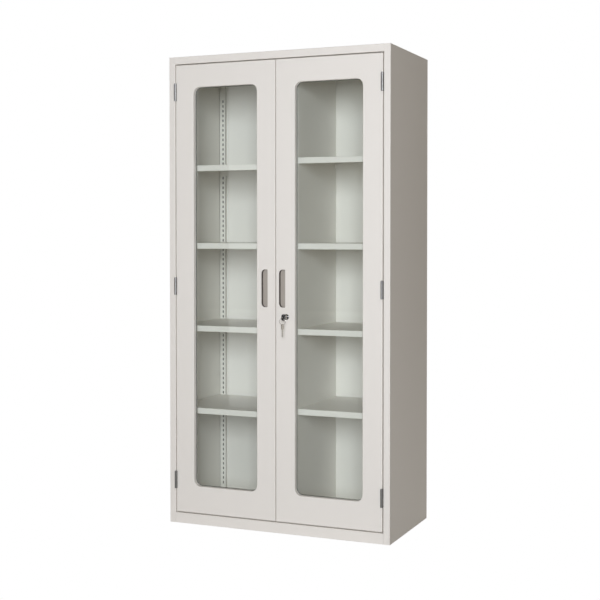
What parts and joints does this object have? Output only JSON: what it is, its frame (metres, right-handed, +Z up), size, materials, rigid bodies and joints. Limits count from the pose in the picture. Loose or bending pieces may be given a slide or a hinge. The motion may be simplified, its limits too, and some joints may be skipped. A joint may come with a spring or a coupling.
{
  "type": "glass door medical cabinet",
  "caption": "Tall free-standing sheet steel cabinet with glazed hinged doors, recessed pulls, a key lock and adjustable shelves in bays beside a vertical divider.",
  "frame": {"origin": "bottom centre of the bounding box, on the floor", "axes": "+Z up, +X to the right seen from the front, the doors face -Y"},
  "size_m": [0.9, 0.4969, 1.8],
  "materials": {
    "powder_coat": "light grey powder coat, fine orange peel",
    "zinc_plate": "zinc plated steel",
    "chrome": "polished chrome plate",
    "nickel_plate": "nickel plate",
    "black_plastic": "moulded black plastic",
    "seal_rubber": "extruded rubber",
    "pull_finish": "light grey satin",
    "window_glass": "clear float glass"
  },
  "bodies": {
    "cabinet": {"left_side_panel": "powder_coat", "right_side_panel": "powder_coat", "top_panel": "powder_coat", "base_panel": "powder_coat", "back_panel": "powder_coat", "divider_panel": "powder_coat", "front_left_upright": "powder_coat", "rear_left_upright": "powder_coat", "front_right_upright": "powder_coat", "rear_right_upright": "powder_coat", "left_shelf_1": "powder_coat", "left_shelf_2": "powder_coat", "left_shelf_3": "powder_coat", "left_shelf_4": "powder_coat", "right_shelf_1": "powder_coat", "right_shelf_2": "powder_coat", "right_shelf_3": "powder_coat", "right_shelf_4": "powder_coat", "left_top_hinge_frame_leaf": "zinc_plate", "left_middle_hinge_frame_leaf": "zinc_plate", "left_bottom_hinge_frame_leaf": "zinc_plate", "right_top_hinge_frame_leaf": "zinc_plate", "right_middle_hinge_frame_leaf": "zinc_plate", "right_bottom_hinge_frame_leaf": "zinc_plate", "left_top_hinge_pin": "zinc_plate", "left_middle_hinge_pin": "zinc_plate", "left_bottom_hinge_pin": "zinc_plate", "right_top_hinge_pin": "zinc_plate", "right_middle_hinge_pin": "zinc_plate", "right_bottom_hinge_pin": "zinc_plate"},
    "left_door": {"left_door_skin": "powder_coat", "left_door_liner": "powder_coat", "left_window_seal": "seal_rubber", "left_window_glass": "window_glass", "left_pull_cup": "pull_finish", "left_top_hinge_door_leaf": "zinc_plate", "left_middle_hinge_door_leaf": "zinc_plate", "left_bottom_hinge_door_leaf": "zinc_plate", "left_top_bolt_guide": "zinc_plate", "left_bottom_bolt_guide": "zinc_plate"},
    "right_door": {"right_door_skin": "powder_coat", "right_door_liner": "powder_coat", "right_window_seal": "seal_rubber", "right_window_glass": "window_glass", "right_pull_cup": "pull_finish", "right_top_hinge_door_leaf": "zinc_plate", "right_middle_hinge_door_leaf": "zinc_plate", "right_bottom_hinge_door_leaf": "zinc_plate", "lock_body": "chrome", "lock_nut": "zinc_plate"},
    "lock": {"lock_plug": "nickel_plate", "lock_cam": "zinc_plate", "cam_screw": "zinc_plate", "key_blade": "nickel_plate", "key_head": "black_plastic"},
    "key_ring": {"key_ring": "nickel_plate"},
    "spare_key": {"spare_key": "nickel_plate"},
    "left_top_bolt": {"left_top_bolt": "zinc_plate"},
    "left_bottom_bolt": {"left_bottom_bolt": "zinc_plate"}
  },
  "joints": [
    {"name": "left_door_hinge", "type": "hinge", "parent": "cabinet", "child": "left_door", "pos_m": [-0.421, -0.2073, 0.918], "axis": [0, 0, -1], "range_deg": [0, 170]},
    {"name": "right_door_hinge", "type": "hinge", "parent": "cabinet", "child": "right_door", "pos_m": [0.421, -0.2073, 0.918], "axis": [0, 0, 1], "range_deg": [0, 170]},
    {"name": "lock_turn", "type": "hinge", "parent": "right_door", "child": "lock", "pos_m": [0.044, -0.2015, 0.811], "axis": [0, 1, 0], "range_deg": [0, 90]},
    {"name": "key_ring_hang", "type": "hinge", "parent": "lock", "child": "key_ring", "pos_m": [0.044, -0.2375, 0.8025], "axis": [0, 1, 0], "range_deg": [-100, 10]},
    {"name": "spare_key_swing", "type": "hinge", "parent": "key_ring", "child": "spare_key", "pos_m": [0.044, -0.2375, 0.7965], "axis": [0, 1, 0], "range_deg": [-20, 20]},
    {"name": "left_top_bolt_slide", "type": "slide", "parent": "left_door", "child": "left_top_bolt", "axis": [0, 0, 1], "range_m": [0, 0.014]},
    {"name": "left_bottom_bolt_slide", "type": "slide", "parent": "left_door", "child": "left_bottom_bolt", "axis": [0, 0, -1], "range_m": [0, 0.014]}
  ],
  "couplings": [
    {"joint": "key_ring_hang", "follows": "lock_turn", "ratio": -1}
  ]
}
